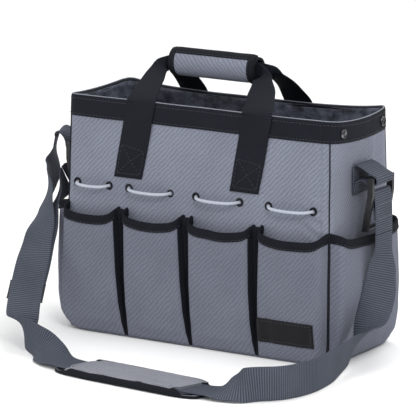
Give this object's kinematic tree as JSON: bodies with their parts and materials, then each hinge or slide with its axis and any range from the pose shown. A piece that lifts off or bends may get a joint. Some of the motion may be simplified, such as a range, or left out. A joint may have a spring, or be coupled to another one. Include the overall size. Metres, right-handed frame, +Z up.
{
  "type": "garden tool bag",
  "caption": "Open-topped fabric tote with outside pockets, elastic tool loops, webbing handles joined by a padded wrap, and a shoulder strap with pad.",
  "frame": {"origin": "middle of the bag's base, on the ground", "axes": "+Z up; the front with its tool pockets faces -Y; +X to the right seen from the front"},
  "size_m": [0.47, 0.3497, 0.3327],
  "materials": {
    "grey_cloth": "matte coated oxford cloth",
    "lining_cloth": "matte coated lining",
    "stiffener_board": "matte board",
    "black_webbing": "ribbed woven webbing",
    "strap_webbing": "ribbed woven webbing",
    "label_patch": "plain patch, no lettering",
    "elastic_cord": "braided elastic cord",
    "black_metal": "satin black",
    "stud_metal": "dark nickel",
    "black_plastic": "moulded, satin"
  },
  "bodies": {
    "bag": {"back_handle_left_leg": "black_webbing", "back_handle_right_leg": "black_webbing", "back_panel": "grey_cloth", "base_board": "stiffener_board", "base_panel": "grey_cloth", "corner_piping": "black_webbing", "eyelets": "black_metal", "front_handle_left_leg": "black_webbing", "front_handle_right_leg": "black_webbing", "front_panel": "grey_cloth", "front_pocket_1": "grey_cloth", "front_pocket_2": "grey_cloth", "front_pocket_3": "grey_cloth", "front_pocket_4": "grey_cloth", "front_pocket_binding_1": "black_webbing", "front_pocket_binding_2": "black_webbing", "front_pocket_binding_3": "black_webbing", "front_pocket_binding_4": "black_webbing", "label_patch": "label_patch", "left_side_panel": "grey_cloth", "left_side_pocket": "grey_cloth", "left_side_pocket_binding": "black_webbing", "left_strap_return": "strap_webbing", "left_strap_tab": "strap_webbing", "lining": "lining_cloth", "loop_knots": "elastic_cord", "pocket_gusset_1": "black_webbing", "pocket_gusset_2": "black_webbing", "pocket_gusset_3": "black_webbing", "press_studs": "stud_metal", "right_side_panel": "grey_cloth", "right_side_pocket": "grey_cloth", "right_side_pocket_binding": "black_webbing", "right_strap_tab": "strap_webbing", "rim_band_back": "black_webbing", "rim_band_front": "black_webbing", "rim_band_left": "black_webbing", "rim_band_right": "black_webbing", "shoulder_pad": "grey_cloth", "shoulder_pad_binding": "black_webbing", "shoulder_strap": "strap_webbing", "strap_slider": "black_plastic", "tool_loop_1": "elastic_cord", "tool_loop_2": "elastic_cord", "tool_loop_3": "elastic_cord", "tool_loop_4": "elastic_cord"},
    "handles": {"front_handle_webbing": "black_webbing", "back_handle_webbing": "black_webbing", "grip_sleeve": "black_webbing"},
    "grip_flap": {"grip_flap": "grey_cloth", "grip_flap_binding": "black_webbing"},
    "right_buckle": {"right_buckle": "black_plastic", "right_strap_end": "strap_webbing"},
    "left_buckle": {"left_buckle": "black_plastic", "left_strap_bight": "strap_webbing"}
  },
  "joints": [
    {"name": "handle_drop", "type": "slide", "parent": "bag", "child": "handles", "axis": [0, 0, -1], "range_m": [0, 0.05], "deforming": ["front_handle_webbing", "back_handle_webbing"]},
    {"name": "grip_flap_open", "type": "hinge", "parent": "handles", "child": "grip_flap", "pos_m": [-0.013, -0.00462, 0.29875], "axis": [1, 0, 0], "range_deg": [0, 110]},
    {"name": "right_buckle_swing", "type": "hinge", "parent": "bag", "child": "right_buckle", "pos_m": [0.203, 0, 0.206], "axis": [0, -1, 0], "range_deg": [0, 55]},
    {"name": "left_buckle_swing", "type": "hinge", "parent": "bag", "child": "left_buckle", "pos_m": [-0.203, 0, 0.206], "axis": [0, 1, 0], "range_deg": [0, 8]}
  ]
}
